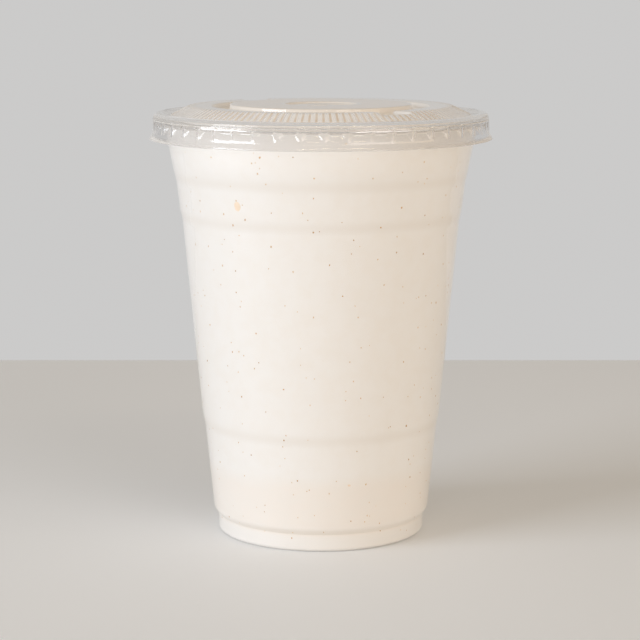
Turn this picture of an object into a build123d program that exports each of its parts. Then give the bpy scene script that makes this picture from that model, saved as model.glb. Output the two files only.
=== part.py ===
from build123d import *
from math import asin, atan2, cos, degrees, hypot, radians, sin
import os

# A clear plastic cup with a rolled rim, filled with milkshake and shut with a
# clear flat lid. Millimetres, +Z up. The origin is the middle of the foot, on
# the surface that the cup stands on.

# ---- cup ----
cup_height = 126.0
rim_radius = 49.0
foot_radius = 31.2
wall = 0.45

base_rise = 2.6
base_panel_radius = 25.6
base_bend = 1.0
foot_inner_radius = 28.2
foot_inner_edge = 0.8
foot_outer_edge = 1.2
foot_height = 5.15
crease_bend = 0.3

# The wall above the foot: a shoulder, then three small steps outwards. The low step
# starts that far out from the foot.
shoulder_out = 1.4
shoulder_height = 6.9
shoulder_bend = 3.0
low_step_from_foot = 3.88
low_step_bottom = 32.0
low_step_out = 0.76
low_step_height = 3.75
step_bend = 9.0

# The two upper steps are measured in and down from the rim.
mid_step_in = 7.63
mid_step_depth = 31.6
mid_step_out = 0.75
mid_step_height = 3.55
top_step_in = 5.9
top_step_depth = 20.0
top_step_out = 0.8
top_step_height = 3.6

# The rim is the wall's own edge, curled outwards and down.
curl_radius = 1.3
curl_end_angle = -60.0

# ---- lid ----
sheet = 0.35
seat_gap = 0.05
plug_gap = 0.10
bead_gap = 0.35
gutter_depth = 2.6
gutter_width = 0.75
gutter_bend = 0.35
bead_inner_bend = 1.6
bead_outer_bend = 1.4
ledge_drop = 1.45
ledge_out = 0.15
ledge_height = 0.2
skirt_draft = 0.1
skirt_below_pockets = 0.45
lip_out = 1.05
lip_height = 1.7
lip_bend = 1.5

plateau_rise = 1.85
plateau_in = 10.2
plateau_width = 6.8
plateau_bend = 1.5
shoulder_drop_ratio = 0.5
shoulder_foot_bend = 0.45
moat_depth = 1.15
moat_width = 4.7
moat_bend = 0.4
moat_draft = 0.35
disc_rise = 0.55
disc_edge_bend = 0.5
dish_depth = 0.4
dish_radius = 10.4
dish_bend = 0.4
slit_length = 18.0
slit_width = 0.3

# Fine ribs run over the plateau's outer edge and down the shoulder.
rib_count = 134
first_rib_azimuth = -90.36
rib_on_plateau = 1.8
rib_foot_margin = 0.5
rib_height = 0.28
rib_root = 0.18
rib_share = 0.55

# Two notches, opposite each other, break the plateau and its ribs.
notch_azimuth = -57.2
notch_half_angle = 7.0
notch_depth = 0.65
notch_inner_margin = 2.0
notch_reach = 4.4
notch_headroom = 3.0

# Snap pockets pressed into the skirt catch under the cup's curled rim. Their tops
# stand above its underside, and their ridges are a little below it.
pocket_count = 48
first_pocket_azimuth = -85.25
pocket_width = 5.6
pocket_ridge_width = 3.3
pocket_top_above_curl = 0.7
pocket_height = 3.25
pocket_ridge_below_curl = 0.5
pocket_ridge_height = 0.3
pocket_depth = 1.0
pocket_overrun = 0.8

# ---- milkshake ----
fill_gap = 0.05

low_step_radius = foot_radius + low_step_from_foot
mid_step_radius = rim_radius - mid_step_in
top_step_radius = rim_radius - top_step_in
curl_underside = cup_height - 2 * curl_radius

plateau_radius = rim_radius - plateau_in
moat_outer_radius = plateau_radius - plateau_width
disc_radius = moat_outer_radius - moat_width
bead_top = cup_height + seat_gap + sheet
bead_radius = rim_radius + bead_gap + sheet
plateau_height = bead_top + plateau_rise
disc_height = plateau_height + disc_rise
moat_height = plateau_height - moat_depth
dish_height = disc_height - dish_depth
gutter_height = cup_height - gutter_depth
ledge_top = bead_top - ledge_drop
skirt_radius = bead_radius + ledge_out
skirt_foot_radius = skirt_radius + skirt_draft
pocket_top = curl_underside + pocket_top_above_curl
pocket_ridge = curl_underside - pocket_ridge_below_curl
skirt_foot = pocket_top - pocket_height - skirt_below_pockets
lip_radius = skirt_foot_radius + lip_out
lip_height_above_table = skirt_foot - lip_height
pocket_pitch = 360 / pocket_count
rib_pitch = 360 / rib_count


def offset_outline(points, left):
    """Move an open outline of (radius, height, bend) corners to the left of its run."""
    normals = []
    for (r0, z0, _), (r1, z1, _) in zip(points, points[1:]):
        length = hypot(r1 - r0, z1 - z0)
        normals.append((-(z1 - z0) / length, (r1 - r0) / length))
    moved = []
    for index, (r, z, bend) in enumerate(points):
        before = normals[max(index - 1, 0)]
        after = normals[min(index, len(normals) - 1)]
        share = left / (1 + before[0] * after[0] + before[1] * after[1])
        turn = before[0] * after[1] - before[1] * after[0]
        new_bend = max(bend - left, 0.05) if turn > 0 else max(bend + left, 0.05)
        moved.append((
            r + share * (before[0] + after[0]),
            z + share * (before[1] + after[1]),
            new_bend if bend else 0.0,
        ))
    return moved


def rounded_run(points):
    """An open run of lines through the corners, each rounded by its own bend."""
    places = [(r, z) for r, z, _ in points]
    bends = [bend for _, _, bend in points[1:-1]]
    return FilletPolyline(*places, radius=bends).edges()


def turned(edges, arc=360.0):
    """A solid turned about the upright axis from the edges that bound its section."""
    return revolve(Plane.XZ * make_face(edges), Axis.Z, arc)


def closed_run(points):
    """The closed run of edges round a list of corners."""
    places = [(r, z) for r, z, _ in points]
    bends = [bend for _, _, bend in points]
    return FilletPolyline(*places, radius=bends, close=True).edges()


# ---- cup wall ----
curl_centre = (rim_radius - curl_radius, cup_height - curl_radius)
top_step = [
    (top_step_radius, cup_height - top_step_depth, step_bend),
    (
        top_step_radius + top_step_out,
        cup_height - top_step_depth + top_step_height,
        step_bend,
    ),
]


def rim_lean():
    """The lean of the top of the wall, which runs into the curl without a kink."""
    out = curl_centre[0] - top_step[1][0]
    up = curl_centre[1] - top_step[1][1]
    return atan2(out, up) - asin((curl_radius - wall) / hypot(out, up))


lean = rim_lean()


def cup_outline():
    """The outside of the cup, from the middle of its base to the start of its curl."""
    curl_inside = curl_radius - wall
    return [
        (0, base_rise, 0),
        (base_panel_radius, base_rise, base_bend),
        (foot_inner_radius, 0, foot_inner_edge),
        (foot_radius, 0, foot_outer_edge),
        (foot_radius, foot_height, crease_bend),
        (foot_radius + shoulder_out, shoulder_height, shoulder_bend),
        (low_step_radius, low_step_bottom, step_bend),
        (low_step_radius + low_step_out, low_step_bottom + low_step_height, step_bend),
        (mid_step_radius, cup_height - mid_step_depth, step_bend),
        (
            mid_step_radius + mid_step_out,
            cup_height - mid_step_depth + mid_step_height,
            step_bend,
        ),
        *top_step,
        (
            curl_centre[0] - curl_inside * cos(lean),
            curl_centre[1] + curl_inside * sin(lean),
            0,
        ),
    ]


def bore_radius(height):
    """The radius inside the cup's wall, at a height above its top step."""
    start = curl_centre[0] - curl_radius * cos(lean)
    return start - (curl_centre[1] + curl_radius * sin(lean) - height) * sin(lean) / cos(lean)


def make_cup():
    outside = cup_outline()
    inside = offset_outline(outside, wall)
    sweep = curl_end_angle - (180 - degrees(lean))
    start = 180 - degrees(lean)
    outer_curl = CenterArc(curl_centre, curl_radius, start, sweep)
    inner_curl = CenterArc(curl_centre, curl_radius - wall, start, sweep)
    curl_lip = Line(outer_curl @ 1, inner_curl @ 1)
    middle = Line(outside[0][:2], inside[0][:2])
    return turned([
        *rounded_run(outside),
        *rounded_run(inside),
        *outer_curl.edges(),
        *inner_curl.edges(),
        *curl_lip.edges(),
        *middle.edges(),
    ])


# ---- lid ----
gutter_outer_radius = bore_radius(gutter_height) - plug_gap - sheet
gutter_inner_radius = gutter_outer_radius - gutter_width
shoulder_drop = (gutter_inner_radius - plateau_radius) * shoulder_drop_ratio


def panel_outline():
    """The lid's upper face from its middle to the bottom of the gutter."""
    return [
        (0, dish_height, 0),
        (dish_radius, dish_height, dish_bend),
        (dish_radius + dish_depth, disc_height, dish_bend),
        (disc_radius - moat_draft, disc_height, disc_edge_bend),
        (disc_radius, moat_height, moat_bend),
        (moat_outer_radius, moat_height, moat_bend),
        (moat_outer_radius + moat_draft, plateau_height, disc_edge_bend),
        (plateau_radius, plateau_height, plateau_bend),
        (gutter_inner_radius, plateau_height - shoulder_drop, shoulder_foot_bend),
        (gutter_inner_radius, gutter_height, gutter_bend),
        (gutter_outer_radius, gutter_height, gutter_bend),
    ]


def lid_outline():
    """The lid's upper and outer face, from its middle to the edge of its lip."""
    plug_top_radius = bore_radius(bead_top) - plug_gap - sheet
    return [
        *panel_outline(),
        (plug_top_radius, bead_top, bead_inner_bend),
        (bead_radius, bead_top, bead_outer_bend),
        (bead_radius, ledge_top, ledge_height),
        (skirt_radius, ledge_top - ledge_height, ledge_height),
        (skirt_foot_radius, skirt_foot, lip_bend),
        (lip_radius, lip_height_above_table, 0),
    ]


def notches(margin):
    """What the two notches in the plateau take away, grown by a margin on every side."""
    half_angle = notch_half_angle + degrees(margin / moat_outer_radius)
    inner = moat_outer_radius - notch_inner_margin
    floor = plateau_height - notch_depth - margin
    width = plateau_radius + notch_reach - inner
    block = Pos(inner + width / 2, floor + notch_headroom / 2) * Rectangle(width, notch_headroom)
    sector = Rot(0, 0, notch_azimuth - half_angle) * turned(block.edges(), 2 * half_angle)
    return [sector, Rot(0, 0, 180) * sector]


def under_lid(margin, bottom):
    """All that lies under the lid's upper face moved down by a margin."""
    outline = offset_outline(lid_outline(), -margin) if margin else lid_outline()
    outline += [(outline[-1][0], bottom, 0)] if margin else []
    solid = turned(closed_run([*outline, (0, bottom, 0)]))
    return solid - notches(margin)


def make_ribs():
    """Fine ribs over the plateau's edge."""
    foot_radius_of_rib = gutter_inner_radius - rib_foot_margin
    run = [
        (plateau_radius - rib_on_plateau, plateau_height, 0),
        (plateau_radius, plateau_height, plateau_bend),
        (
            foot_radius_of_rib,
            plateau_height - (foot_radius_of_rib - plateau_radius) * shoulder_drop_ratio,
            0,
        ),
    ]
    crest = offset_outline(run, rib_height)
    root = offset_outline(run, -rib_root)
    width = rib_pitch * rib_share
    first = first_rib_azimuth - width / 2
    rib = Rot(0, 0, first) * turned(closed_run([*crest, *reversed(root)]), width)
    return [Rot(0, 0, number * rib_pitch) * rib for number in range(rib_count)]


def pocket(number, margin):
    """A snap pocket, a wedge with slanted ends, grown by a margin."""
    middle = pocket_top - pocket_height / 2
    outer_radius = skirt_radius - margin / 2 if margin else skirt_radius + pocket_overrun
    growth = pocket_overrun / pocket_depth if not margin else 0.0
    mouth = Rectangle(
        pocket_width + 2 * margin + growth * (pocket_width - pocket_ridge_width),
        pocket_height + 2 * margin + growth * (pocket_height - pocket_ridge_height),
    )
    end = Rectangle(pocket_ridge_width + 2 * margin, pocket_ridge_height + 2 * margin)
    end_radius = skirt_radius - pocket_depth - margin
    mouth_height = middle + growth * (middle - pocket_ridge)
    wedge = loft([
        Plane.YZ.offset(outer_radius) * Pos(0, mouth_height) * mouth,
        Plane.YZ.offset(end_radius) * Pos(0, pocket_ridge) * end,
    ])
    return Rot(0, 0, first_pocket_azimuth + number * pocket_pitch) * wedge


def make_lid():
    upper = under_lid(0, lip_height_above_table) + make_ribs()
    upper -= [pocket(number, 0) for number in range(pocket_count)]
    lower = under_lid(sheet, lip_height_above_table - lip_height)
    lower -= [pocket(number, sheet) for number in range(pocket_count)]
    slit = Pos(0, 0, dish_height) * Box(slit_length, slit_width, 4 * sheet)
    cross = [Rot(0, 0, notch_azimuth + quarter) * slit for quarter in (0, 90)]
    return upper - lower - cross


# ---- milkshake ----
def make_milkshake():
    """The drink, up to the underside of the lid's panel."""
    cup_side = offset_outline(cup_outline(), wall + fill_gap)
    lid_side = offset_outline(panel_outline(), -(sheet + fill_gap))[:-1]
    surface = lid_side[-1][1]
    below = [corner for corner in cup_side if corner[1] < surface]
    edge = (bore_radius(surface) - fill_gap / cos(lean), surface, 0)
    drink = turned(closed_run([*below, edge, *reversed(lid_side)]))
    return drink - notches(sheet + fill_gap)


def write(solid, node):
    solid.label = node
    export_step(solid, f"parts/{node}.step")


os.makedirs("parts", exist_ok=True)
write(make_cup(), "cup")
write(make_lid(), "lid")
write(make_milkshake(), "milkshake")
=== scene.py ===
import math
import random

import bmesh
import bpy
from bpy.props import FloatProperty, FloatVectorProperty, IntProperty, PointerProperty
from bpy.types import Operator, Panel, PropertyGroup
from mathutils import Matrix, Vector, noise


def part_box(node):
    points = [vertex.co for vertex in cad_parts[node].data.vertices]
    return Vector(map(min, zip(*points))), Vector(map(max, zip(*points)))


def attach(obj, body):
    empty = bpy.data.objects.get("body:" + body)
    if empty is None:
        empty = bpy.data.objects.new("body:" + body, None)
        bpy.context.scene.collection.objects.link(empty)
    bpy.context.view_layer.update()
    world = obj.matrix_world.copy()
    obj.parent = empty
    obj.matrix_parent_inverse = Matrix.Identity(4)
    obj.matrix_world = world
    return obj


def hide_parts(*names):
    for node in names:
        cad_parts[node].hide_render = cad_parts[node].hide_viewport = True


bl_info = {
    "name": "Milkshake in a Clear Cup",
    "version": (1, 0, 0),
    "blender": (4, 5, 0),
    "location": "View3D > Sidebar > Milkshake",
    "description": "Builds a clear cup of milkshake, its flat lid and a plain stage",
    "category": "Add Mesh",
}

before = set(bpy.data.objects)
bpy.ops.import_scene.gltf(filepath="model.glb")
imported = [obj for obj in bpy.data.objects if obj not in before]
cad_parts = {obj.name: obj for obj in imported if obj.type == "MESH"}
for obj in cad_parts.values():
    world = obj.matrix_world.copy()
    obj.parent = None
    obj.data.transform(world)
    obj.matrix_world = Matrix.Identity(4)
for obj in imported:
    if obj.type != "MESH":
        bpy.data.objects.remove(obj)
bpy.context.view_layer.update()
_, CUP_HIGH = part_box("cup")
LID_LOW, LID_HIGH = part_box("lid")

MM = 0.001
CUP_HEIGHT = CUP_HIGH.z
RIM_RADIUS = CUP_HIGH.x
LIP_RADIUS = LID_HIGH.x
LIP_HEIGHT = LID_LOW.z
DISC_HEIGHT = LID_HIGH.z


# ---- sizes and colours that a user would change ----
def length(name, description, default):
    return FloatProperty(
        name=name,
        description=description,
        default=default,
        min=0.0,
        precision=5,
        unit="LENGTH",
        subtype="DISTANCE",
    )


def colour(name, description, default):
    return FloatVectorProperty(
        name=name,
        description=description,
        default=default,
        size=3,
        min=0.0,
        max=1.0,
        subtype="COLOR",
    )


def blur(description, default):
    return FloatProperty(name="Roughness", description=description, default=default, min=0, max=1)


def power(name, description, default):
    return FloatProperty(name=name, description=description, default=default, min=0, unit="POWER")


def number(name, description, default, least):
    return IntProperty(name=name, description=description, default=default, min=least)


class CupSettings(PropertyGroup):
    wall: length("Wall", "Thickness of the cup's sheet", 0.45 * MM)
    foot_radius: length("Foot radius", "Outer radius of the foot ring", 31.2 * MM)
    curl_radius: length("Curl radius", "Radius of the rolled rim's section", 1.3 * MM)
    tint: colour("Tint", "Colour of the cup's clear plastic", (0.997, 0.997, 0.995))
    roughness: blur("Blur of the cup's gloss", 0.04)


class LidSettings(PropertyGroup):
    sheet: length("Sheet", "Thickness of the lid's sheet", 0.35 * MM)
    pocket_count: number("Grip pockets", "Pockets round the lid's skirt", 48, 3)
    rib_count: number("Ribs", "Fine ribs round the lid's shoulder", 134, 3)
    # The lid's tint, greyer than the cup's, is painted shade: it stands for the light that the
    # lid's sheets would stop.
    tint: colour("Tint", "Colour of the lid's clear plastic", (0.965, 0.955, 0.945))
    # Painted shade: the lid's skirt is darker than the rest of the lid.
    skirt_shade_tint: colour("Skirt tint", "Colour of the lid's skirt, seen edge on", (0.86, 0.85, 0.845))
    roughness: blur("Blur of the lid's gloss", 0.05)


class DrinkSettings(PropertyGroup):
    cream: colour("Cream", "Colour of the milkshake", (0.90, 0.872, 0.835))
    deep: colour("Deep", "Colour of the milkshake near the foot", (0.898, 0.840, 0.778))
    dark_flecks: number("Dark flecks", "How many dark flecks show at the wall", 165, 0)
    soft_flecks: number("Soft flecks", "How many paler flecks show at the wall", 420, 0)
    fleck_colour: colour("Fleck", "Colour of the dark flecks", (0.45, 0.26, 0.09))
    mark_colour: colour("Mark", "Colour of the few larger marks", (0.89, 0.73, 0.56))
    soft_fleck_colour: colour("Soft fleck", "Colour of the paler flecks", (0.65, 0.47, 0.26))


class StageSettings(PropertyGroup):
    floor: colour("Floor", "Colour of the floor", (0.89, 0.905, 0.92))
    backdrop: colour("Backdrop", "Colour behind the floor", (0.60, 0.595, 0.59))
    ambient: FloatProperty(
        name="Ambient", description="Strength of the light from all sides", default=0.386, min=0
    )
    key: power("Key light", "Power of the large soft light", 22.3)
    front: power("Front light", "Power of the light in front", 7.4)
    fill: power("Fill light", "Power of the warmer light", 4.0)
    glint: power("High light", "Power of the long high light", 1.4)


# ---- shader nodes ----
class Channel:
    """A node's output that takes part in arithmetic, one Math node to each operator."""

    def __init__(self, finish, socket):
        self.finish = finish
        self.socket = socket

    def of(self, operation, *values):
        node = self.finish.node("ShaderNodeMath", {"operation": operation}, dict(enumerate(values)))
        return Channel(self.finish, node.outputs[0])

    def __add__(self, other):
        return self.of("ADD", self, other)

    __radd__ = __add__

    def __mul__(self, other):
        return self.of("MULTIPLY", self, other)

    __rmul__ = __mul__

    def __sub__(self, other):
        return self.of("SUBTRACT", self, other)

    def __rsub__(self, other):
        return self.of("SUBTRACT", other, self)

    def __abs__(self):
        return self.of("ABSOLUTE", self)

    def __pow__(self, other):
        return self.of("POWER", self, other)

    def __mod__(self, other):
        return self.of("FLOORED_MODULO", self, other)

    def greatest(self, other):
        return self.of("MAXIMUM", self, other)

    def above(self, other):
        return self.of("GREATER_THAN", self, other)

    def azimuth(self, x):
        """The azimuth of a point, from its y, which this is, and its x."""
        return self.of("ARCTAN2", self, x)


class Finish:
    """A material or world with an empty node tree and one way to add nodes to it."""

    def __init__(self, holder):
        holder.use_nodes = True
        self.holder = holder
        self.tree = holder.node_tree
        self.tree.nodes.clear()

    def node(self, kind, settings=None, values=None):
        made = self.tree.nodes.new(kind)
        for name, setting in (settings or {}).items():
            setattr(made, name, setting)
        for name, value in (values or {}).items():
            self.feed(made.inputs[name], value)
        return made

    def feed(self, socket, value):
        """Gives a socket a link or a value."""
        if isinstance(value, Channel):
            value = value.socket
        if isinstance(value, bpy.types.NodeSocket):
            self.tree.links.new(value, socket)
        else:
            socket.default_value = value

    def channel(self, node, name):
        return Channel(self, node.outputs[name])

    def place(self):
        """Where a point of the surface is, in metres in the piece's own frame."""
        return self.node("ShaderNodeTexCoord").outputs["Object"]

    def split(self, place):
        parts = self.node("ShaderNodeSeparateXYZ", {}, {0: place})
        return [Channel(self, output) for output in parts.outputs]

    def noise(self, place, scale, detail=3.0, rough=0.5):
        made = self.node(
            "ShaderNodeTexNoise",
            {},
            {"Vector": place, "Scale": scale, "Detail": detail, "Roughness": rough},
        )
        return self.channel(made, "Fac")

    def ramp(self, value, low, high):
        """Nought below low, one above high and a smooth rise between them."""
        made = self.node(
            "ShaderNodeMapRange",
            {"interpolation_type": "SMOOTHSTEP"},
            {"Value": value, "From Min": low, "From Max": high},
        )
        return self.channel(made, "Result")

    def blend(self, share, first, second):
        """A colour between two others."""
        made = self.node("ShaderNodeMix", {"data_type": "RGBA"})
        inputs = {socket.identifier: socket for socket in made.inputs}
        self.feed(inputs["Factor_Float"], share)
        for name, shade in (("A_Color", first), ("B_Color", second)):
            linked = isinstance(shade, bpy.types.NodeSocket)
            self.feed(inputs[name], shade if linked else opaque(shade))
        return next(s for s in made.outputs if s.identifier == "Result_Color")

    def bump(self, height, distance):
        made = self.node("ShaderNodeBump", {}, {"Height": height, "Distance": distance})
        return made.outputs["Normal"]

    def mixed(self, share, first, second):
        """Two shaders mixed: nought is the first, one the second."""
        values = {0: share, 1: first.outputs[0], 2: second.outputs[0]}
        return self.node("ShaderNodeMixShader", {}, values)

    def show(self, shader):
        holds = "World" if isinstance(self.holder, bpy.types.World) else "Material"
        self.node("ShaderNodeOutput" + holds, {}, {"Surface": shader.outputs[0]})
        return self.holder


def opaque(shade):
    return (*shade, 1.0)


# Clear plastic. Past so many reflections or faces, light goes straight on.
PLASTIC_IOR = 1.49
MOST_REFLECTIONS = 1.5
MOST_BOUNCES = 6.5
RIPPLE_SCALE = 140.0
RIPPLE_HEIGHT = 0.03 * MM
# How far the painted shade on the lid's skirt takes to fade in.
SKIRT_SHADE_CHANGE = 0.5 * MM

# Milkshake: where its tones lie, then each tone as shares of the cream's red, green and blue. Past
# the mottling, each tone is painted shade, but for one painted highlight.
DRINK_IOR = 1.36
DRINK_ROUGHNESS = 0.45
DRINK_SPECULAR = 0.35
DEEP_FULL = 20.5 * MM
DEEP_END = 26.0 * MM
DEEP_WANDER = 4.0 * MM
WANDER_SCALE = 60.0
STEP_LINES = (33.9 * MM, CUP_HEIGHT - 29.8 * MM, CUP_HEIGHT - 18.2 * MM)
STEP_BAND = 2.4 * MM
FOOT_LINE = 5.7 * MM
FOOT_BAND = 1.5 * MM
FOOT_SHADE = (2.0 * MM, 9.0 * MM)
CLOUD_SCALE = 220.0
CLOUD_SPAN = (0.35, 0.75)
CLOUD_SHARE = 0.6
PATCH_SCALE = 130.0
PATCH_SPAN = (0.42, 0.62)
CLOUD_TONE = (0.985, 0.968, 0.945)
# Painted shade in bands at the cup's steps.
STEP_SHADE_TONE = (0.968, 0.953, 0.935)
# Painted highlight: the milkshake lighter under the lid's ribs.
UNDER_RIB_HIGHLIGHT_TONE = (1.04, 1.05, 1.06)
# Painted shade, patchy, between the lid's ribs.
RIB_GAP_SHADE_TONE = (0.84, 0.73, 0.61)
# Painted shade in the moat and all that lies inside it.
MOAT_SHADE_TONE = (0.97, 0.94, 0.90)
# Painted shade, warm, under the flat of the lid's disc.
DISC_SHADE_TONE = (0.99, 0.87, 0.73)
# Painted shade near the foot, where the cup meets the floor.
FOOT_SHADE_TONE = (0.955, 0.95, 0.945)
# Painted shade in the crease of the foot step.
FOOT_STEP_SHADE_TONE = (0.95, 0.91, 0.86)

# Where those tones begin and end under the lid.
RIB_GAP_START = 0.25
RIB_GAP_FULL = 0.35
DISH_EDGE = 11.5 * MM
DISH_FADE = 1.5 * MM
DISC_EDGE = 2.2 * MM
DISC_FADE = 1.0 * MM

FLECK_ROUGHNESS = 0.5
FLECK_PATCH_SCALE = 400.0
FLECK_PATCH_SPAN = (0.3, 0.7)


def clear_plastic(name, tint, roughness, low_shade_tint=None, change=0.0):
    """Clear sheet plastic, with a darker tint below the height at which it changes, which is
    painted shade. Light that has met many faces goes straight on, so that none is caught inside the
    sheet."""
    finish = Finish(bpy.data.materials.new(name))
    place = finish.place()
    ripple = finish.noise(place, RIPPLE_SCALE, 2.0)
    shade = opaque(tint)
    # Painted shade on the skirt, below the height at which it changes.
    if low_shade_tint:
        _, _, height = finish.split(place)
        raised = finish.ramp(height, change - SKIRT_SHADE_CHANGE, change + SKIRT_SHADE_CHANGE)
        shade = finish.blend(raised, low_shade_tint, tint)
    glass = finish.node(
        "ShaderNodeBsdfPrincipled",
        {},
        {
            "Base Color": shade,
            "Roughness": roughness,
            "IOR": PLASTIC_IOR,
            "Transmission Weight": 1.0,
            "Normal": finish.bump(ripple, RIPPLE_HEIGHT),
        },
    )
    passing = finish.node("ShaderNodeBsdfTransparent", {}, {"Color": opaque(tint)})
    path = finish.node("ShaderNodeLightPath")
    reflections = finish.channel(path, "Glossy Depth")
    bounces = finish.channel(path, "Ray Depth")
    share = reflections.above(MOST_REFLECTIONS).greatest(bounces.above(MOST_BOUNCES))
    return finish.show(finish.mixed(share, glass, passing))


def top_masks(finish, x, y, height, lid):
    """Where on its top the milkshake gets a painted highlight under the ribs and painted shade
    between the ribs, in the moat and under the disc."""
    radius = (x * x + y * y) ** 0.5
    turn = (y.azimuth(x) - FIRST_RIB) * (lid.rib_count / math.tau)
    across = abs((turn + 0.5) % 1.0 - 0.5)
    gap = finish.ramp(across, RIB_GAP_START, RIB_GAP_FULL)
    past_start = finish.ramp(radius, lid.rib_start, lid.rib_start + RIB_FADE)
    before_end = 1.0 - finish.ramp(radius, lid.rib_end - RIB_FADE, lid.rib_end)
    on_top = finish.ramp(height, lid.gutter, lid.gutter + RIB_FADE)
    ribbed = past_start * before_end * on_top
    inside = 1.0 - finish.ramp(radius, lid.moat_outer - RIB_FADE, lid.moat_outer + RIB_FADE)
    flat_end = lid.disc_radius - DISC_EDGE
    past_dish = finish.ramp(radius, DISH_EDGE, DISH_EDGE + DISH_FADE)
    disc = past_dish - finish.ramp(radius, flat_end, flat_end + DISC_FADE)
    return ribbed * (1.0 - gap), ribbed * gap, inside * on_top, disc * on_top


def close_to(finish, height, middle, reach):
    """One at a height and nought a short way above and below it."""
    return 1.0 - finish.ramp(abs(height - middle), 0.0, reach)


def milkshake_finish(settings, lid):
    """Thick pale milkshake, faintly mottled and a little deeper near the foot. Painted shade
    darkens it at the cup's steps, near the foot, in the crease of the foot step, between the lid's
    ribs, in the moat and under the lid's disc, and a painted highlight lightens it under the ribs."""
    finish = Finish(bpy.data.materials.new("milkshake"))
    place = finish.place()
    x, y, height = finish.split(place)

    def toned(share, shade, tone):
        return finish.blend(share, shade, [c * k for c, k in zip(settings.cream, tone)])

    level = height + finish.noise(place, WANDER_SCALE) * DEEP_WANDER
    deepness = 1.0 - finish.ramp(level, DEEP_FULL, DEEP_END)
    shade = finish.blend(deepness, settings.cream, settings.deep)
    cloud = finish.ramp(finish.noise(place, CLOUD_SCALE, 4.0, 0.6), *CLOUD_SPAN)
    shade = toned(cloud * CLOUD_SHARE, shade, CLOUD_TONE)
    # Painted shade in bands at the cup's steps.
    for middle in STEP_LINES:
        shade = toned(close_to(finish, height, middle, STEP_BAND), shade, STEP_SHADE_TONE)
    under, between, moat, disc = top_masks(finish, x, y, height, lid)
    patch = finish.ramp(finish.noise(place, PATCH_SCALE, 2.0), *PATCH_SPAN)
    # Painted highlight under the ribs, then painted shade between them, in the moat, under the
    # disc, near the foot and in the foot step's crease.
    shade = toned(under, shade, UNDER_RIB_HIGHLIGHT_TONE)
    # Painted shade between the ribs, in patches.
    shade = toned(between * (0.5 + 0.5 * patch), shade, RIB_GAP_SHADE_TONE)
    # Painted shade in the moat and inside it.
    shade = toned(moat, shade, MOAT_SHADE_TONE)
    # Painted shade under the flat of the disc.
    shade = toned(disc, shade, DISC_SHADE_TONE)
    # Painted shade near the foot.
    shade = toned(1.0 - finish.ramp(height, *FOOT_SHADE), shade, FOOT_SHADE_TONE)
    # Painted shade in the crease of the foot step.
    shade = toned(close_to(finish, height, FOOT_LINE, FOOT_BAND), shade, FOOT_STEP_SHADE_TONE)
    body = finish.node(
        "ShaderNodeBsdfPrincipled",
        {},
        {
            "Base Color": shade,
            "Roughness": DRINK_ROUGHNESS,
            "IOR": DRINK_IOR,
            "Specular IOR Level": DRINK_SPECULAR,
        },
    )
    return finish.show(body)


def plain_finish(name, shade, roughness):
    finish = Finish(bpy.data.materials.new(name))
    body = finish.node(
        "ShaderNodeBsdfPrincipled", {}, {"Base Color": opaque(shade), "Roughness": roughness}
    )
    return finish.show(body)


def fleck_finish(name, shade, spread):
    """Fleck colour that differs a little from one fleck to the next."""
    finish = Finish(bpy.data.materials.new(name))
    grain = finish.noise(finish.place(), FLECK_PATCH_SCALE, 1.0)
    patch = finish.ramp(grain, *FLECK_PATCH_SPAN)
    light = [min(c * spread, 1.0) for c in shade]
    body = finish.node(
        "ShaderNodeBsdfPrincipled",
        {},
        {"Base Color": finish.blend(patch, shade, light), "Roughness": FLECK_ROUGHNESS},
    )
    return finish.show(body)


# ---- outlines: runs of (radius, height, bend) corners, in metres ----
ARC_STEP = math.radians(16)
LID_ARC_STEP = math.radians(26)
LEAST_BEND = 0.05 * MM


def moved_left(corners, left):
    """A run of corners moved sideways to the left of its own direction."""
    normals = []
    for (r0, z0, *_), (r1, z1, *_) in zip(corners, corners[1:]):
        span = math.hypot(r1 - r0, z1 - z0)
        normals.append((-(z1 - z0) / span, (r1 - r0) / span))
    moved = []
    for index, (r, z, bend, *rest) in enumerate(corners):
        before = normals[max(index - 1, 0)]
        after = normals[min(index, len(normals) - 1)]
        share = left / (1 + before[0] * after[0] + before[1] * after[1])
        turn = before[0] * after[1] - before[1] * after[0]
        new_bend = max(bend - left if turn > 0 else bend + left, LEAST_BEND)
        moved.append((
            r + share * (before[0] + after[0]),
            z + share * (before[1] + after[1]),
            new_bend if bend else 0.0,
            *rest,
        ))
    return moved


def rounded(corners, step=ARC_STEP):
    """Points along a run of corners, with an arc at each corner that has a bend."""
    points = []
    for index, (r, z, bend, *rest) in enumerate(corners):
        if not bend or index in (0, len(corners) - 1):
            points.append((r, z, *rest))
            continue
        here = Vector((r, z))
        before = (here - Vector(corners[index - 1][:2])).normalized()
        after = (Vector(corners[index + 1][:2]) - here).normalized()
        turn = math.atan2(before.x * after.y - before.y * after.x, before.dot(after))
        start = here - before * bend * math.tan(abs(turn) / 2)
        side = math.copysign(bend, turn)
        centre = start + Vector((-before.y, before.x)) * side
        steps = max(2, math.ceil(abs(turn) / step))
        for number in range(steps + 1):
            arm = Matrix.Rotation(turn * number / steps, 2) @ (start - centre)
            points.append((*(centre + arm), *rest))
    return points


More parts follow.
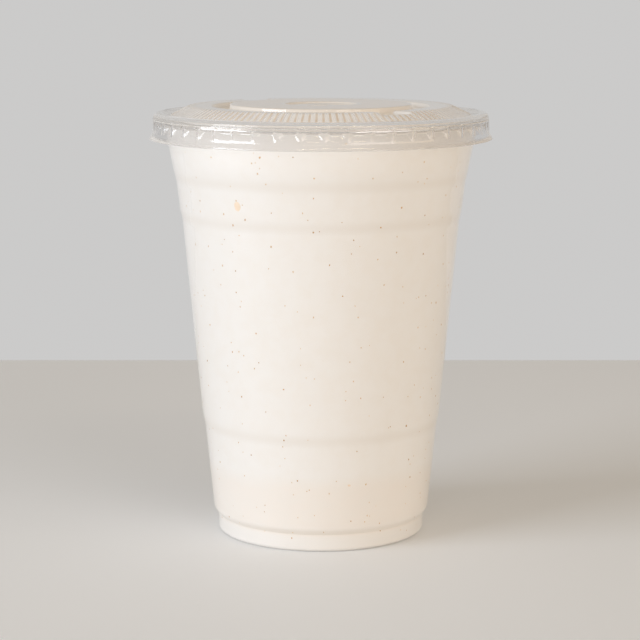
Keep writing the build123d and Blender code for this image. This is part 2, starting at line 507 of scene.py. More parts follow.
# The cup: the same steps and curl as the CAD model's.
CUP_COLUMNS = 288
BASE_RISE = 2.6 * MM
BASE_PANEL_RADIUS = 25.6 * MM
FOOT_INNER_RADIUS = 28.2 * MM
FOOT_HEIGHT = 5.15 * MM
SHOULDER_OUT = 1.4 * MM
SHOULDER_HEIGHT = 6.9 * MM
LOW_STEP_FROM_FOOT = 3.88 * MM
LOW_STEP_OUT = 0.76 * MM
LOW_STEP_FOOT = 32.0 * MM
LOW_STEP_TOP = 35.75 * MM
MID_STEP_IN = 7.63 * MM
MID_STEP_OUT = 0.75 * MM
MID_STEP_FOOT = CUP_HEIGHT - 31.6 * MM
MID_STEP_TOP = CUP_HEIGHT - 28.05 * MM
TOP_STEP_IN = 5.9 * MM
TOP_STEP_OUT = 0.8 * MM
TOP_STEP_FOOT = CUP_HEIGHT - 20.0 * MM
TOP_STEP_TOP = CUP_HEIGHT - 16.4 * MM
STEP_BEND = 9.0 * MM
CURL_SEGMENTS = 20
CURL_END = math.radians(-60.0)


def cup_lean(curl_radius, wall, step_top):
    """The lean of the top of the wall, which runs into the curl without a kink."""
    out = RIM_RADIUS - curl_radius - step_top[0]
    up = CUP_HEIGHT - curl_radius - step_top[1]
    return math.atan2(out, up) - math.asin((curl_radius - wall) / math.hypot(out, up))


class CupShape:
    """The cup's outline and what follows from it."""

    def __init__(self, settings):
        foot = settings.foot_radius
        low = foot + LOW_STEP_FROM_FOOT
        mid = RIM_RADIUS - MID_STEP_IN
        top = RIM_RADIUS - TOP_STEP_IN
        top_step = (top + TOP_STEP_OUT, TOP_STEP_TOP, STEP_BEND)
        self.wall = settings.wall
        self.curl_radius = settings.curl_radius
        self.curl_centre = Vector((RIM_RADIUS - self.curl_radius, CUP_HEIGHT - self.curl_radius))
        self.lean = cup_lean(self.curl_radius, self.wall, top_step)
        inside = self.curl_radius - self.wall
        self.outside = [
            (0.0, BASE_RISE, 0.0),
            (BASE_PANEL_RADIUS, BASE_RISE, 1.0 * MM),
            (FOOT_INNER_RADIUS, 0.0, 0.8 * MM),
            (foot, 0.0, 1.2 * MM),
            (foot, FOOT_HEIGHT, 0.3 * MM),
            (foot + SHOULDER_OUT, SHOULDER_HEIGHT, 3.0 * MM),
            (low, LOW_STEP_FOOT, STEP_BEND),
            (low + LOW_STEP_OUT, LOW_STEP_TOP, STEP_BEND),
            (mid, MID_STEP_FOOT, STEP_BEND),
            (mid + MID_STEP_OUT, MID_STEP_TOP, STEP_BEND),
            (top, TOP_STEP_FOOT, STEP_BEND),
            top_step,
            (
                self.curl_centre.x - inside * math.cos(self.lean),
                self.curl_centre.y + inside * math.sin(self.lean),
                0.0,
            ),
        ]

    def bore_radius(self, height):
        """The radius inside the wall at a height above the top step."""
        start = self.curl_centre.x - self.curl_radius * math.cos(self.lean)
        fall = self.curl_centre.y + self.curl_radius * math.sin(self.lean) - height
        return start - fall * math.tan(self.lean)

    def curl(self, radius):
        """Points round the curl, from the wall over the top to the curl's end."""
        first = math.pi - self.lean
        sweep = CURL_END - first
        points = []
        for n in range(1, CURL_SEGMENTS + 1):
            turn = first + sweep * n / CURL_SEGMENTS
            arm = Vector((math.cos(turn), math.sin(turn)))
            points.append(tuple(self.curl_centre + radius * arm))
        return points

    def section(self):
        """The whole section of the wall, from the middle of its underside round to the
        middle of its upper side."""
        under = rounded(self.outside)
        over = rounded(moved_left(self.outside, self.wall))
        return [
            *under,
            *self.curl(self.curl_radius - self.wall),
            *reversed(self.curl(self.curl_radius)),
            *reversed(over),
        ]


# The lid: one sheet, from a sunk middle to the flared lip.
SEAT_GAP = 0.05 * MM
PLUG_GAP = 0.10 * MM
BEAD_GAP = 0.35 * MM
PLATEAU_RISE = 1.85 * MM
PLATEAU_IN = 10.2 * MM
MOAT_DEPTH = 1.15 * MM
MOAT_IN = 6.8 * MM
MOAT_WIDTH = 4.7 * MM
DISH_DEPTH = 0.4 * MM
DISH_RADIUS = 9.5 * MM
GUTTER_DEPTH = 2.6 * MM
GUTTER_WIDTH = 0.75 * MM
GUTTER_BEND = 0.35 * MM
LEDGE_DROP = 1.45 * MM
LEDGE_OUT = 0.15 * MM
LEDGE_BEND = 0.2 * MM
SKIRT_SPREAD = 0.1 * MM
SKIRT_BELOW_POCKETS = 0.45 * MM
POCKET_ABOVE_CURL_FOOT = 0.7 * MM
RIDGE_BELOW_CURL_FOOT = 0.5 * MM
SHOULDER_FALL = 0.5
DISC_ROWS = (13, 16, 19, 22, 25)
FIRST_RIB = math.radians(-90.36)
RIB_START_IN = 1.8 * MM
RIB_END_IN = 0.5 * MM
RIB_HEIGHT = 0.28 * MM
RIB_FADE = 0.4 * MM
RIB_CREST = 0.1
RIB_FOOT = 0.38
NOTCH_AZIMUTH = math.radians(-57.2)
NOTCH_HALF_ANGLE = math.radians(7.0)
NOTCH_EDGE = math.radians(0.9)
NOTCH_DEPTH = 0.65 * MM
NOTCH_START = 30.0 * MM
SLIT_LENGTH = 18.0 * MM
SLIT_WIDTH = 0.3 * MM
FIRST_POCKET = math.radians(-85.25)
POCKET_DEPTH = 0.97 * MM
POCKET_WIDTH = 5.6 * MM
POCKET_RIDGE_WIDTH = 3.3 * MM
POCKET_HEIGHT = 3.25 * MM
POCKET_RIDGE_HEIGHT = 0.3 * MM
FIN_ROUND = 0.35 * MM
PANEL_SAG = 0.04 * MM
SAG_SCALE = 90.0
FILL_REACH = 0.6
POCKET_ROUND = 0.12 * MM

# Where the columns of the lid's mesh stand: shares of the way from one rib to the
# next, and distances along the skirt from the middle of a pocket.
RIB_COLUMNS = (-0.5, -0.38, -0.24, -0.1, 0.1, 0.24, 0.38)
POCKET_COLUMNS = (0.0, 0.6, 1.2, 1.55, 1.75, 2.1, 2.45, 2.7, 2.95)
DISC_COLUMNS = 270
BEAD_COLUMNS = 384


class LidShape:
    """The lid's outline and the places on it where something stands out or in."""

    def __init__(self, settings, cup):
        sheet = settings.sheet
        self.sheet = sheet
        self.bead_top = CUP_HEIGHT + SEAT_GAP + sheet
        bead_radius = RIM_RADIUS + BEAD_GAP + sheet
        self.plateau = self.bead_top + PLATEAU_RISE
        self.moat = self.plateau - MOAT_DEPTH
        self.dish = DISC_HEIGHT - DISH_DEPTH
        self.gutter = CUP_HEIGHT - GUTTER_DEPTH
        self.gutter_outer = cup.bore_radius(self.gutter) - PLUG_GAP - sheet
        self.gutter_inner = self.gutter_outer - GUTTER_WIDTH
        self.plateau_radius = RIM_RADIUS - PLATEAU_IN
        self.moat_outer = self.plateau_radius - MOAT_IN
        self.disc_radius = self.moat_outer - MOAT_WIDTH
        self.rib_start = self.plateau_radius - RIB_START_IN
        self.rib_end = self.gutter_inner - RIB_END_IN
        curl_underside = CUP_HEIGHT - 2 * cup.curl_radius
        self.pocket_top = curl_underside + POCKET_ABOVE_CURL_FOOT
        self.pocket_foot = self.pocket_top - POCKET_HEIGHT
        self.ridge = curl_underside - RIDGE_BELOW_CURL_FOOT
        self.skirt_radius = bead_radius + LEDGE_OUT
        ledge = self.bead_top - LEDGE_DROP
        skirt_top = ledge - LEDGE_BEND
        skirt_foot = self.pocket_foot - SKIRT_BELOW_POCKETS
        half_ridge = POCKET_RIDGE_HEIGHT / 2

        def on_shoulder(radius, bend=0.0):
            fall = (radius - self.plateau_radius) * SHOULDER_FALL
            return (radius, self.plateau - fall, bend, "panel")

        def on_skirt(height):
            share = (skirt_top - height) / (skirt_top - skirt_foot)
            return (self.skirt_radius + share * SKIRT_SPREAD, height, 0.0, "skirt")

        self.panel = [
            (DISH_RADIUS, self.dish, 0.0, "disc"),
            (DISH_RADIUS + 0.9 * MM, self.dish, 0.4 * MM, "disc"),
            (DISH_RADIUS + 1.3 * MM, DISC_HEIGHT, 0.4 * MM, "disc"),
            *[(r * MM, DISC_HEIGHT, 0.0, "disc") for r in DISC_ROWS],
            (self.disc_radius - 0.35 * MM, DISC_HEIGHT, 0.5 * MM, "disc"),
            (self.disc_radius, self.moat, 0.4 * MM, "disc"),
            (self.disc_radius + 1.7 * MM, self.moat, 0.0, "panel"),
            (self.moat_outer, self.moat, 0.4 * MM, "panel"),
            (self.moat_outer + 0.35 * MM, self.plateau, 0.5 * MM, "panel"),
            (self.moat_outer + 2.6 * MM, self.plateau, 0.0, "panel"),
            (self.rib_start - RIB_FADE / 2, self.plateau, 0.0, "panel"),
            (self.rib_start + RIB_FADE / 2, self.plateau, 0.0, "panel"),
            (self.plateau_radius, self.plateau, 1.5 * MM, "panel"),
            on_shoulder(self.plateau_radius + 1.3 * MM),
            on_shoulder(self.plateau_radius + 3.0 * MM),
            on_shoulder(self.rib_end - RIB_FADE),
            on_shoulder(self.rib_end),
            on_shoulder(self.gutter_inner, 0.45 * MM),
            (self.gutter_inner, self.gutter, GUTTER_BEND, "gutter"),
            (self.gutter_outer, self.gutter, GUTTER_BEND, "gutter"),
        ]
        pocket_rows = (
            self.pocket_top + POCKET_ROUND,
            self.pocket_top - POCKET_ROUND,
            (self.pocket_top + self.ridge + half_ridge) / 2,
            self.ridge + half_ridge + POCKET_ROUND,
            self.ridge + half_ridge - POCKET_ROUND / 2,
            self.ridge - half_ridge + POCKET_ROUND / 2,
            self.ridge - half_ridge - POCKET_ROUND,
            (self.pocket_foot + self.ridge) / 2 + 0.4 * MM,
            (self.pocket_foot + self.ridge) / 2 - 0.4 * MM,
            self.pocket_foot + POCKET_ROUND,
            self.pocket_foot - POCKET_ROUND,
        )
        plug_radius = cup.bore_radius(self.bead_top) - PLUG_GAP - sheet
        self.outside = [
            *self.panel,
            (plug_radius, self.bead_top, 1.6 * MM, "gutter"),
            (bead_radius, self.bead_top, 1.4 * MM, "gutter"),
            (bead_radius, ledge, LEDGE_BEND, "gutter"),
            (self.skirt_radius, skirt_top, LEDGE_BEND, "gutter"),
            *[on_skirt(height) for height in pocket_rows],
            (self.skirt_radius + SKIRT_SPREAD, skirt_foot, 1.0 * MM, "gutter"),
            (LIP_RADIUS, LIP_HEIGHT, 0.0, "gutter"),
        ]
        self.pocket_count = settings.pocket_count
        self.rib_count = settings.rib_count

    def columns(self, part):
        """Azimuths of the mesh's columns, finer where ribs or pockets need them."""
        if part == "panel":
            pitch = math.tau / self.rib_count
            return [FIRST_RIB + (k + f) * pitch for k in range(self.rib_count) for f in RIB_COLUMNS]
        if part == "skirt":
            pitch = math.tau / self.pocket_count
            half = [x * MM / self.skirt_radius for x in POCKET_COLUMNS]
            turns = [*half, pitch / 2, *[pitch - x for x in reversed(half[1:])]]
            return [FIRST_POCKET + k * pitch + x for k in range(self.pocket_count) for x in turns]
        count = DISC_COLUMNS if part == "disc" else BEAD_COLUMNS
        return [FIRST_POCKET + math.tau * k / count for k in range(count)]

    def notch_share(self, azimuth):
        """One inside the two notches, nought outside, with a short slope between."""
        off = (azimuth - NOTCH_AZIMUTH + math.pi / 2) % math.pi - math.pi / 2
        return smooth((NOTCH_HALF_ANGLE - abs(off)) / NOTCH_EDGE + 0.5)

    def notched(self, radius, height, azimuth, drop=0.0):
        """The height of a point of the panel once the notches are pressed in."""
        floor = self.plateau - NOTCH_DEPTH - drop
        if radius < NOTCH_START or height <= floor:
            return height
        share = self.notch_share(azimuth)
        return height + (floor - height) * share

    def rib(self, radius, azimuth):
        """How far the ribs stand up at a point of the panel."""
        along = smooth((radius - self.rib_start) / (2 * (self.plateau_radius - self.rib_start)))
        along *= smooth((self.rib_end - radius) / RIB_FADE)
        turn = (azimuth - FIRST_RIB) / math.tau * self.rib_count
        across = abs((turn + 0.5) % 1.0 - 0.5)
        return RIB_HEIGHT * along * smooth((RIB_FOOT - across) / (RIB_FOOT - RIB_CREST))

    def sag(self, radius, azimuth):
        """How far the thin panel gives at a point."""
        return PANEL_SAG * (1 + noise.noise(at(radius, azimuth, 0.0) * SAG_SCALE))

    def pocket(self, azimuth, height):
        """How deep the pockets are at a point of the skirt."""
        turn = (azimuth - FIRST_POCKET) / math.tau * self.pocket_count
        offset = abs((turn + 0.5) % 1.0 - 0.5) * math.tau / self.pocket_count * self.skirt_radius
        half_ridge = POCKET_RIDGE_HEIGHT / 2
        side_run = (POCKET_WIDTH - POCKET_RIDGE_WIDTH) / 2
        side = eased(POCKET_WIDTH / 2 - offset, FIN_ROUND) / side_run
        top_run = self.pocket_top - self.ridge - half_ridge
        foot_run = self.ridge - half_ridge - self.pocket_foot
        above = eased(self.pocket_top - height, POCKET_ROUND) / top_run
        below = eased(height - self.pocket_foot, POCKET_ROUND) / foot_run
        return POCKET_DEPTH * min(side, above, below, 1.0)


def eased(run, soft):
    """A run that starts from nought along a short curve."""
    if run < -soft:
        return 0.0
    return run if run > soft else (run + soft) ** 2 / (4 * soft)


def smooth(share):
    share = min(max(share, 0.0), 1.0)
    return share * share * (3 - 2 * share)


def at(radius, azimuth, height):
    return Vector((radius * math.cos(azimuth), radius * math.sin(azimuth), height))


# ---- meshes ----
# Lengths, in metres, below which a ring is one point and a cut meets a corner.
ON_AXIS = 1e-7
CUT_TOLERANCE = 1e-8


def add_piece(name, mesh, material, slot, *stands_for):
    """Puts a piece on the part's one body, in its finish."""
    mesh.shade_smooth()
    mesh.materials.append(material)
    piece = bpy.data.objects.new(name, mesh)
    bpy.context.scene.collection.objects.link(piece)
    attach(piece, "root")
    if stands_for:
        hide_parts(*stands_for)
    return piece


def see_through(piece):
    """Lets the lamps light what is behind a clear piece."""
    piece.visible_shadow = False
    piece.visible_diffuse = False
    return piece


def mesh_of(name, points, faces):
    mesh = bpy.data.meshes.new(name)
    mesh.from_pydata(points, [], faces)
    mesh.update()
    return mesh


def turned(section, columns):
    """Points and faces of a section turned about the axis. Radius nought is one point."""
    points, rings = [], []
    for r, z, *_ in section:
        count = 1 if r < ON_AXIS else columns
        rings.append(range(len(points), len(points) + count))
        points += [at(r, math.tau * n / columns, z) for n in range(count)]
    faces = []
    for low, high in zip(rings, rings[1:]):
        for n in range(columns):
            m = (n + 1) % columns
            corners = [(low, n), (high, n), (high, m), (low, m)]
            faces.append(list(dict.fromkeys(ring[k % len(ring)] for ring, k in corners)))
    return points, [face for face in faces if len(face) > 2]


def outward(mesh):
    """Turns the faces of a closed mesh outwards."""
    shell = bmesh.new()
    shell.from_mesh(mesh)
    bmesh.ops.recalc_face_normals(shell, faces=shell.faces)
    shell.to_mesh(mesh)
    shell.free()
    return mesh


def zipped(low, low_azimuths, high, high_azimuths):
    """Faces between two rings of points, whose columns may stand at other azimuths."""
    if len(low) == len(high):
        return [[low[n - 1], high[n - 1], high[n], low[n]] for n in range(len(low))]
    start = low_azimuths[0]

    def off(azimuth):
        return math.remainder(azimuth - start, math.tau)

    shift = min(range(len(high)), key=lambda n: abs(off(high_azimuths[n])))
    low_turns = [off(azimuth) % math.tau for azimuth in low_azimuths]
    high_turns = [off(high_azimuths[(n + shift) % len(high)]) % math.tau for n in range(len(high))]
    high_turns[0] = 0.0
    low_turns, high_turns = [*low_turns, math.tau], [*high_turns, math.tau]
    faces, i, j = [], 0, 0
    while i < len(low) or j < len(high):
        a, b = low[i % len(low)], high[(j + shift) % len(high)]
        if j >= len(high) or (i < len(low) and low_turns[i + 1] <= high_turns[j + 1]):
            i += 1
            faces.append([a, b, low[i % len(low)]])
        else:
            j += 1
            faces.append([a, b, high[(j + shift) % len(high)]])
    return faces


def woven(rings):
    """Points and faces over rings, each a pair of azimuths and points. The first is shut."""
    points, rows = [], []
    for _, ring in rings:
        rows.append(range(len(points), len(points) + len(ring)))
        points += ring
    faces = [list(rows[0])]
    for number in range(len(rings) - 1):
        faces += zipped(rows[number], rings[number][0], rows[number + 1], rings[number + 1][0])
    return points, faces


def lid_rings(lid):
    """The lid's upper face from the middle outwards, with ribs, notches and pockets."""
    run = rounded(lid.outside, LID_ARC_STEP)
    columns = {part: lid.columns(part) for part in ("disc", "panel", "gutter", "skirt")}
    rings = []
    for number, (r, z, part) in enumerate(run):
        before, after = run[max(number - 1, 0)], run[min(number + 1, len(run) - 1)]
        normal = Vector((before[1] - after[1], after[0] - before[0])).normalized()
        ring = []
        for azimuth in columns[part]:
            radius, height = r, z
            if part == "panel":
                stand = lid.rib(r, azimuth)
                radius += normal.x * stand
                height = lid.notched(radius, z + normal.y * stand, azimuth)
            if part == "skirt":
                radius -= lid.pocket(azimuth, z)
            if part in ("disc", "panel"):
                height -= lid.sag(radius, azimuth)
            ring.append(at(radius, azimuth, height))
        rings.append((columns[part], ring))
    return rings


def cut_cross(mesh, azimuth):
    """Cuts the crossed slits out of the flat face in the middle of the lid."""
    shell = bmesh.new()
    shell.from_mesh(mesh)
    middle = max(shell.faces, key=lambda face: face.calc_area())
    floor = {middle}
    height = middle.calc_center_median().z
    arms = [Vector((math.cos(azimuth + q), math.sin(azimuth + q), 0)) for q in (0, math.pi / 2)]
    for arm in arms:
        across = Vector((-arm.y, arm.x, 0))
        for direction, reach in ((across, SLIT_WIDTH / 2), (arm, SLIT_LENGTH / 2)):
            for side in (-1, 1):
                edges = {e for face in floor for e in face.edges}
                corners = {v for face in floor for v in face.verts}
                cut = bmesh.ops.bisect_plane(
                    shell,
                    geom=[*floor, *edges, *corners],
                    dist=CUT_TOLERANCE,
                    plane_co=direction * reach * side + Vector((0, 0, height)),
                    plane_no=direction,
                )
                floor = {g for g in cut["geom"] if isinstance(g, bmesh.types.BMFace)}
    gone = []
    for face in floor:
        centre = face.calc_center_median()
        places = [(centre.dot(arm), centre.dot(Vector((-arm.y, arm.x, 0)))) for arm in arms]
        if any(abs(a) < SLIT_LENGTH / 2 and abs(b) < SLIT_WIDTH / 2 for a, b in places):
            gone.append(face)
    bmesh.ops.delete(shell, geom=gone, context="FACES")
    shell.to_mesh(mesh)
    shell.free()


def drink_side(cup, lid):
    """The outline of the milkshake's side. It reaches into the cup's wall."""
    side = moved_left(cup.outside, cup.wall * FILL_REACH)
    surface = lid.gutter - lid.sheet
    below = [corner for corner in side if corner[1] < surface]
    edge = (cup.bore_radius(surface) + cup.wall * (1 - FILL_REACH), surface, 0.0)
    return rounded([*below, edge])


def drink_rings(cup, lid):
    """The milkshake from the middle of its foot to the middle of its top, which reaches
    into the lid but leaves the hollows of the ribs empty."""
    columns = {part: lid.columns(part) for part in ("disc", "panel", "gutter")}
    rings = []
    for r, z, *_ in drink_side(cup, lid)[1:]:
        rings.append((columns["gutter"], [at(r, azimuth, z) for azimuth in columns["gutter"]]))
    top = moved_left(lid.panel[:-1], -lid.sheet * FILL_REACH)
    for r, z, part in reversed(rounded(top, LID_ARC_STEP)):
        ring = []
        for azimuth in columns[part]:
            height = z
            if part != "gutter":
                height = lid.notched(r, z, azimuth, lid.sheet * FILL_REACH) - lid.sag(r, azimuth)
            ring.append(at(r, azimuth, height))
        rings.append((columns[part], ring))
    return rings


class BuildCup(Operator):
    """Build the clear cup with its curled rim"""

    bl_idname = "milkshake.build_cup"
    bl_label = "Build Cup"

    def execute(self, context):
        settings = context.scene.milkshake_cup
        points, faces = turned(CupShape(settings).section(), CUP_COLUMNS)
        mesh = outward(mesh_of("cup_wall", points, faces))
        finish = clear_plastic("cup plastic", settings.tint, settings.roughness)
        piece = see_through(add_piece("cup_wall", mesh, finish, "clear_cup", "cup"))
        piece.modifiers.new("even gloss", "WEIGHTED_NORMAL")
        return {"FINISHED"}


class BuildLid(Operator):
    """Build the clear lid with its ribs, notches, slits and grip pockets"""

    bl_idname = "milkshake.build_lid"
    bl_label = "Build Lid"

    def execute(self, context):
        settings = context.scene.milkshake_lid
        lid = LidShape(settings, CupShape(context.scene.milkshake_cup))
        # The lid's skirt gets its painted shade below the pockets' tops.
        finish = clear_plastic(
            "lid plastic", settings.tint, settings.roughness, settings.skirt_shade_tint, lid.pocket_top
        )
        mesh = mesh_of("lid_shell", *woven(lid_rings(lid)))
        cut_cross(mesh, NOTCH_AZIMUTH)
        piece = see_through(add_piece("lid_shell", mesh, finish, "clear_lid", "lid"))
        sheet = piece.modifiers.new("sheet", "SOLIDIFY")
        sheet.thickness = settings.sheet
        sheet.offset = -1.0
        piece.modifiers.new("even gloss", "WEIGHTED_NORMAL")
        return {"FINISHED"}


class BuildDrink(Operator):
    """Build the milkshake up to the lid"""

    bl_idname = "milkshake.build_drink"
    bl_label = "Build Milkshake"

    def execute(self, context):
        cup = CupShape(context.scene.milkshake_cup)
        lid = LidShape(context.scene.milkshake_lid, cup)
        rings = drink_rings(cup, lid)
        points, faces = woven(rings)
        faces.append(range(len(points) - len(rings[-1][1]), len(points)))
        mesh = outward(mesh_of("milkshake_fill", points, faces))
        finish = milkshake_finish(context.scene.milkshake_drink, lid)
        add_piece("milkshake_fill", mesh, finish, "milkshake", "milkshake")
        return {"FINISHED"}


# Flecks: each kind's seed, least and greatest size, and how long one may be for its size.
DARK_FLECK = (5, 0.30 * MM, 0.56 * MM, 1.3)
SOFT_FLECK = (8, 0.26 * MM, 0.48 * MM, 1.4)
FLECK_THICKNESS = 0.14 * MM
FLECK_HEIGHTS = (3.0 * MM, 119.0 * MM)
FLECK_TILT = 0.5
# Shares of a fleck's size, then the power that makes small flecks the commoner ones.
FLECK_WIDTHS = (0.7, 1.1)
LEAST_LENGTH = 0.9
SMALLNESS = 1.6
# The lumps on a fleck, and how fast they change round the drink and up it.
LUMP_DEPTH = 0.5
LUMP_SCALE = 3.0
LUMP_SHIFT = (40, 9000)
FOOT_INSIDE = 30.0 * MM
MARK_THICKNESS = 0.07 * MM
MARK_TILT = 0.1

# The few larger marks: azimuth in degrees, then height, width and length in millimetres.
MARKS = (
    (-123.6, 101.9, 2.1, 2.9),
    (-81.3, 120.3, 0.5, 0.5),
    (-76.0, 20.5, 0.9, 0.7),
)


def radius_at(section, height):
    """The radius of the drink's side at a height."""
    for (r0, z0, *_), (r1, z1, *_) in zip(section, section[1:]):
        if z0 <= height <= z1 and z1 > z0:
            return r0 + (height - z0) / (z1 - z0) * (r1 - r0)
    raise ValueError("no wall at that height")


def add_fleck(shell, section, azimuth, height, width, tall, thick, tilt):
    """One flat irregular fleck, which follows the drink's side and is half sunk in it."""
    made = bmesh.ops.create_icosphere(shell, subdivisions=2, radius=0.5)
    turn = Matrix.Rotation(tilt, 2)
    shift = Vector((azimuth * LUMP_SHIFT[0], height * LUMP_SHIFT[1], 0))
    for corner in made["verts"]:
        bulge = 1 + LUMP_DEPTH * noise.noise(corner.co * LUMP_SCALE + shift)
        out, across, up = corner.co * bulge
        across, up = turn @ Vector((width * across, tall * up))
        radius = radius_at(section, height + up)
        corner.co = at(radius + thick * out, azimuth + across / radius, height + up)


def fleck_mesh(name, shell):
    mesh = bpy.data.meshes.new(name)
    shell.to_mesh(mesh)
    shell.free()
    return mesh


def scattered(name, section, count, seed, low, high, longest):
    """Flecks of one kind, scattered round the drink's side."""
    chance = random.Random(seed)
    shell = bmesh.new()
    for _ in range(count):
        size = low + (high - low) * chance.random() ** SMALLNESS
        add_fleck(
            shell,
            section,
            chance.uniform(0, math.tau),
            chance.uniform(*FLECK_HEIGHTS),
            size * chance.uniform(*FLECK_WIDTHS),
            size * chance.uniform(LEAST_LENGTH, longest),
            FLECK_THICKNESS,
            chance.uniform(-FLECK_TILT, FLECK_TILT),
        )
    return fleck_mesh(name, shell)


def marked(name, section):
    """The few larger marks."""
    shell = bmesh.new()
    for azimuth, height, width, tall in MARKS:
        turn = math.radians(azimuth)
        size = (width * MM, tall * MM, MARK_THICKNESS)
        add_fleck(shell, section, turn, height * MM, *size, MARK_TILT)
    return fleck_mesh(name, shell)


class BuildFlecks(Operator):
    """Build the flecks that show at the cup's wall"""

    bl_idname = "milkshake.build_flecks"
    bl_label = "Build Flecks"

    def execute(self, context):
        cup = CupShape(context.scene.milkshake_cup)
        lid = LidShape(context.scene.milkshake_lid, cup)
        side = [point for point in drink_side(cup, lid) if point[0] > FOOT_INSIDE]
        drink = context.scene.milkshake_drink
        dark = scattered("flecks_dark", side, drink.dark_flecks, *DARK_FLECK)
        soft = scattered("flecks_soft", side, drink.soft_flecks, *SOFT_FLECK)
        peach = marked("flecks_peach", side)
        finish = fleck_finish("peach mark", drink.mark_colour, 1.05)
        add_piece("flecks_peach", peach, finish, "milkshake").data.shade_flat()
        finish = fleck_finish("dark fleck", drink.fleck_colour, 1.5)
        add_piece("flecks_dark", dark, finish, "milkshake")
        finish = fleck_finish("soft fleck", drink.soft_fleck_colour, 1.2)
        add_piece("flecks_soft", soft, finish, "milkshake")
        return {"FINISHED"}


# ---- stage ----
CAMERA_DISTANCE = 0.6138
CAMERA_HEIGHT = 0.1647
CAMERA_PITCH = math.radians(9.35)
LENS = 115.94
SENSOR = 36.0
SHIFT = -0.0014
CLIP = (0.05, 20.0)
FLOOR_HALF_WIDTH = 2.0
FLOOR_FRONT = -2.5
FLOOR_BACK = 0.278
FLOOR_DROP = 0.05 * MM
FLOOR_ROUGHNESS = 0.6
AMBIENT_COLOUR = (1.0, 0.878, 0.73)

# Lamps: bearing from the front to the right and rise in degrees, distance, size, colour.
LAMPS = {
    "key": (-62, 17, 1.9, (1.1, 1.0), (0.857, 0.915, 1.0)),
    "front": (35, 15, 1.9, (1.0, 1.0), (1.0, 0.915, 0.876)),
    "fill": (65, 12, 1.9, (1.0, 1.0), (1.0, 0.81, 0.57)),
    "glint": (12, 45, 1.6, (1.3, 0.035), (1.0, 0.88, 0.66)),
}


def add_lamp(name, power):
    """A soft light aimed at the cup."""
    bearing, rise, distance, size, shade = LAMPS[name]
    lamp = bpy.data.lights.new(name, "AREA")
    lamp.shape = "RECTANGLE"
    lamp.size, lamp.size_y = size
    lamp.energy = power
    lamp.color = shade
    bearing, rise = math.radians(bearing), math.radians(rise)
    level = Vector((math.sin(bearing), -math.cos(bearing), 0.0)) * math.cos(rise)
    way = level + Vector((0.0, 0.0, math.sin(rise)))
    holder = bpy.data.objects.new(name, lamp)
    holder.location = Vector((0, 0, CUP_HEIGHT / 2)) + way * distance
    holder.rotation_euler = way.to_track_quat("Z", "Y").to_euler()
    holder.visible_camera = False
    bpy.context.scene.collection.objects.link(holder)


def backdrop_world(settings):
    """A plain backdrop to look at, and a softer light from all sides."""
    finish = Finish(bpy.data.worlds.new("studio"))

    def background(shade, strength):
        values = {"Color": opaque(shade), "Strength": strength}
        return finish.node("ShaderNodeBackground", {}, values)

    seen = background(settings.backdrop, 1.0)
    ambient = background(AMBIENT_COLOUR, settings.ambient)
    path = finish.node("ShaderNodeLightPath")
    glossy = finish.channel(path, "Is Glossy Ray")
    passing = finish.channel(path, "Is Transmission Ray")
    share = finish.channel(path, "Is Camera Ray").greatest(glossy.greatest(passing))
    return finish.show(finish.mixed(share, ambient, seen))


def add_camera():
    view = bpy.data.cameras.new("camera")
    view.lens = LENS
    view.sensor_width = SENSOR
    view.shift_x = SHIFT
    view.clip_start, view.clip_end = CLIP
    camera = bpy.data.objects.new("camera", view)
    camera.location = (0, -CAMERA_DISTANCE, CAMERA_HEIGHT)
    camera.rotation_euler = (math.pi / 2 - CAMERA_PITCH, 0, 0)
    bpy.context.scene.collection.objects.link(camera)
    bpy.context.scene.camera = camera


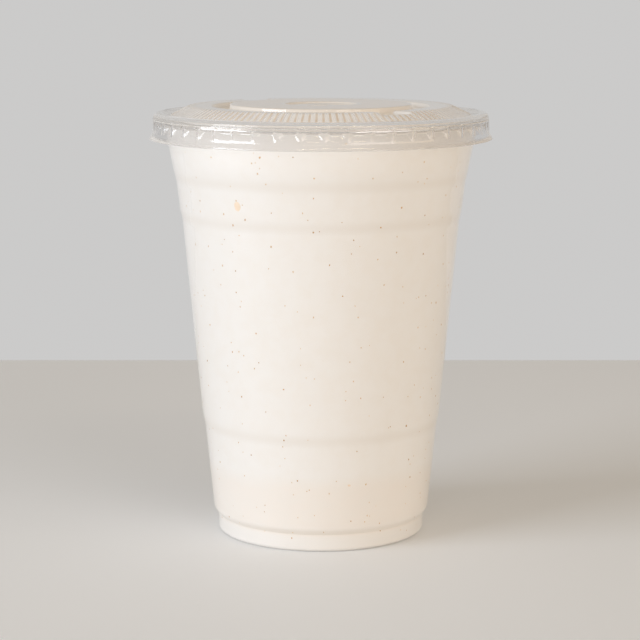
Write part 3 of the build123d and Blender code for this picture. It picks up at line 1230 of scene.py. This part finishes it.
def add_floor(shade):
    corners = [
        (side * FLOOR_HALF_WIDTH, end, 0)
        for side, end in ((-1, FLOOR_FRONT), (1, FLOOR_FRONT), (1, FLOOR_BACK), (-1, FLOOR_BACK))
    ]
    mesh = mesh_of("floor", corners, [[0, 1, 2, 3]])
    mesh.materials.append(plain_finish("floor", shade, FLOOR_ROUGHNESS))
    floor = bpy.data.objects.new("floor", mesh)
    floor.location.z = -FLOOR_DROP
    bpy.context.scene.collection.objects.link(floor)


class BuildStage(Operator):
    """Build the floor, the lights, the backdrop and the camera"""

    bl_idname = "milkshake.build_stage"
    bl_label = "Build Stage"

    def execute(self, context):
        settings = context.scene.milkshake_stage
        add_floor(settings.floor)
        context.scene.world = backdrop_world(settings)
        for name in LAMPS:
            add_lamp(name, getattr(settings, name))
        add_camera()
        context.scene.view_settings.view_transform = "Standard"
        return {"FINISHED"}


# ---- panel ----
class MilkshakePanel(Panel):
    """Sizes and colours of the milkshake, its cup and its stage"""

    bl_idname = "VIEW3D_PT_milkshake"
    bl_label = "Milkshake"
    bl_space_type = "VIEW_3D"
    bl_region_type = "UI"
    bl_category = "Milkshake"

    def draw(self, context):
        for title, group, operators in PARTS:
            box = self.layout.box()
            box.label(text=title)
            settings = getattr(context.scene, group)
            for name in settings.__annotations__:
                box.prop(settings, name)
            for operator in operators:
                box.operator(operator.bl_idname)


PARTS = (
    ("Cup", "milkshake_cup", (BuildCup,)),
    ("Lid", "milkshake_lid", (BuildLid,)),
    ("Milkshake", "milkshake_drink", (BuildDrink, BuildFlecks)),
    ("Stage", "milkshake_stage", (BuildStage,)),
)
GROUPS = {
    "milkshake_cup": CupSettings,
    "milkshake_lid": LidSettings,
    "milkshake_drink": DrinkSettings,
    "milkshake_stage": StageSettings,
}
OPERATORS = (BuildCup, BuildLid, BuildDrink, BuildFlecks, BuildStage)


def register():
    for kind in (*GROUPS.values(), *OPERATORS, MilkshakePanel):
        bpy.utils.register_class(kind)
    for name, group in GROUPS.items():
        setattr(bpy.types.Scene, name, PointerProperty(type=group))


def unregister():
    for name in GROUPS:
        delattr(bpy.types.Scene, name)
    for kind in reversed((*GROUPS.values(), *OPERATORS, MilkshakePanel)):
        bpy.utils.unregister_class(kind)


def main():
    register()
    bpy.ops.milkshake.build_cup()
    bpy.ops.milkshake.build_lid()
    bpy.ops.milkshake.build_drink()
    bpy.ops.milkshake.build_flecks()
    bpy.ops.milkshake.build_stage()


if __name__ == "__main__":
    main()
